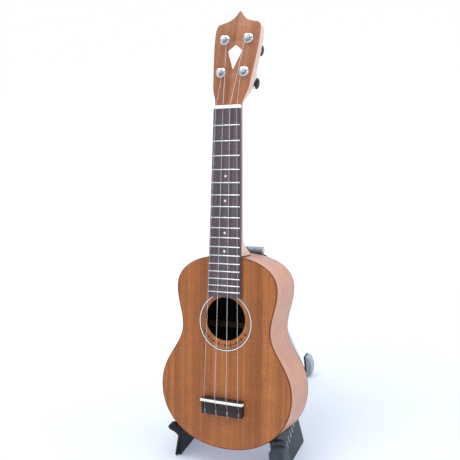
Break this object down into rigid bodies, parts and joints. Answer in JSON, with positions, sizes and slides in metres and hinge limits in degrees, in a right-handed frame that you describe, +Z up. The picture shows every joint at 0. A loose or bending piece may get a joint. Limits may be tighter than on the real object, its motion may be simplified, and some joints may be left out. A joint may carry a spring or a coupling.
{
  "type": "ukulele on folding stand",
  "caption": "Small figure-eight-bodied stringed instrument with a fretted neck and worm-geared tuners, leaning on a low folding easel stand with front rests and a hinged rear leg",
  "frame": {"origin": "on the floor, under the middle of the bounding box", "axes": "+Z up, -Y to the front that the instrument faces, +X to the viewer's right"},
  "size_m": [0.1724, 0.24, 0.5207],
  "materials": {
    "mahogany_face": "open-pore satin mahogany with ribbon grain",
    "mahogany_pale": "paler satin mahogany",
    "rosewood": "dry dark rosewood",
    "bone": "polished white bone",
    "pearl": "pearl ring with dark edges",
    "nickel_silver": "bright nickel",
    "nylon": "clear nylon",
    "spruce": "bare spruce and lime",
    "black_plastic": "moulded satin black plastic",
    "rubber": "matt black rubber",
    "button_plastic": "gloss black",
    "aluminium": "satin aluminium"
  },
  "bodies": {
    "stand_front": {"arm_left": "black_plastic", "arm_right": "black_plastic", "hinge_bar": "black_plastic", "hinge_pin": "nickel_silver", "back_pad": "rubber", "seat_pad_left": "rubber", "seat_pad_right": "rubber"},
    "stand_rear": {"rear_knuckle": "black_plastic", "rear_strut_left": "aluminium", "rear_strut_right": "aluminium", "rear_foot_left": "rubber", "rear_foot_right": "rubber"},
    "ukulele": {"soundboard": "mahogany_face", "body_sides": "mahogany_pale", "back": "mahogany_pale", "neck": "mahogany_pale", "fretboard": "rosewood", "bridge": "rosewood", "nut": "bone", "saddle": "bone", "rosette": "pearl", "fret_01": "nickel_silver", "fret_02": "nickel_silver", "fret_03": "nickel_silver", "fret_04": "nickel_silver", "fret_05": "nickel_silver", "fret_06": "nickel_silver", "fret_07": "nickel_silver", "fret_08": "nickel_silver", "fret_09": "nickel_silver", "fret_10": "nickel_silver", "fret_11": "nickel_silver", "fret_12": "nickel_silver", "fret_13": "nickel_silver", "fret_14": "nickel_silver", "fret_15": "nickel_silver", "fret_16": "nickel_silver", "fret_17": "nickel_silver", "tuner_housing_1": "nickel_silver", "tuner_housing_2": "nickel_silver", "tuner_housing_3": "nickel_silver", "tuner_housing_4": "nickel_silver", "string_1": "nylon", "string_2": "nylon", "string_3": "nylon", "string_4": "nylon", "lining_upper": "spruce", "lining_lower": "spruce", "neck_block": "spruce", "tail_block": "spruce", "soundboard_brace": "spruce", "back_brace": "spruce"},
    "post_1": {"tuner_post_1": "nickel_silver"},
    "button_1": {"tuner_button_1": "button_plastic"},
    "post_2": {"tuner_post_2": "nickel_silver"},
    "button_2": {"tuner_button_2": "button_plastic"},
    "post_3": {"tuner_post_3": "nickel_silver"},
    "button_3": {"tuner_button_3": "button_plastic"},
    "post_4": {"tuner_post_4": "nickel_silver"},
    "button_4": {"tuner_button_4": "button_plastic"}
  },
  "joints": [
    {"name": "ukulele_lift", "type": "slide", "parent": "stand_front", "child": "ukulele", "axis": [0, 0.309, 0.9511], "range_m": [0, 0.24]},
    {"name": "rear_leg_fold", "type": "hinge", "parent": "stand_front", "child": "stand_rear", "pos_m": [0, 0.0191, 0.23235], "axis": [1, 0, 0], "range_deg": [-36, 0]},
    {"name": "tuner_button_1_turn", "type": "hinge", "parent": "ukulele", "child": "button_1", "pos_m": [-0.015, 0.04227, 0.43692], "axis": [1, 0, 0], "continuous": true},
    {"name": "tuner_post_1_turn", "type": "hinge", "parent": "ukulele", "child": "post_1", "pos_m": [-0.015, 0.02996, 0.45346], "axis": [0, -0.848, 0.5299], "continuous": true},
    {"name": "tuner_button_2_turn", "type": "hinge", "parent": "ukulele", "child": "button_2", "pos_m": [-0.0155, 0.06453, 0.47254], "axis": [1, 0, 0], "continuous": true},
    {"name": "tuner_post_2_turn", "type": "hinge", "parent": "ukulele", "child": "post_2", "pos_m": [-0.0155, 0.05222, 0.48908], "axis": [0, -0.848, 0.5299], "continuous": true},
    {"name": "tuner_button_3_turn", "type": "hinge", "parent": "ukulele", "child": "button_3", "pos_m": [0.0155, 0.06453, 0.47254], "axis": [1, 0, 0], "continuous": true},
    {"name": "tuner_post_3_turn", "type": "hinge", "parent": "ukulele", "child": "post_3", "pos_m": [0.0155, 0.05222, 0.48908], "axis": [0, -0.848, 0.5299], "continuous": true},
    {"name": "tuner_button_4_turn", "type": "hinge", "parent": "ukulele", "child": "button_4", "pos_m": [0.015, 0.04227, 0.43692], "axis": [1, 0, 0], "continuous": true},
    {"name": "tuner_post_4_turn", "type": "hinge", "parent": "ukulele", "child": "post_4", "pos_m": [0.015, 0.02996, 0.45346], "axis": [0, -0.848, 0.5299], "continuous": true}
  ],
  "couplings": [
    {"joint": "tuner_post_1_turn", "follows": "tuner_button_1_turn", "ratio": 0.071429},
    {"joint": "tuner_post_2_turn", "follows": "tuner_button_2_turn", "ratio": 0.071429},
    {"joint": "tuner_post_3_turn", "follows": "tuner_button_3_turn", "ratio": 0.071429},
    {"joint": "tuner_post_4_turn", "follows": "tuner_button_4_turn", "ratio": 0.071429}
  ]
}
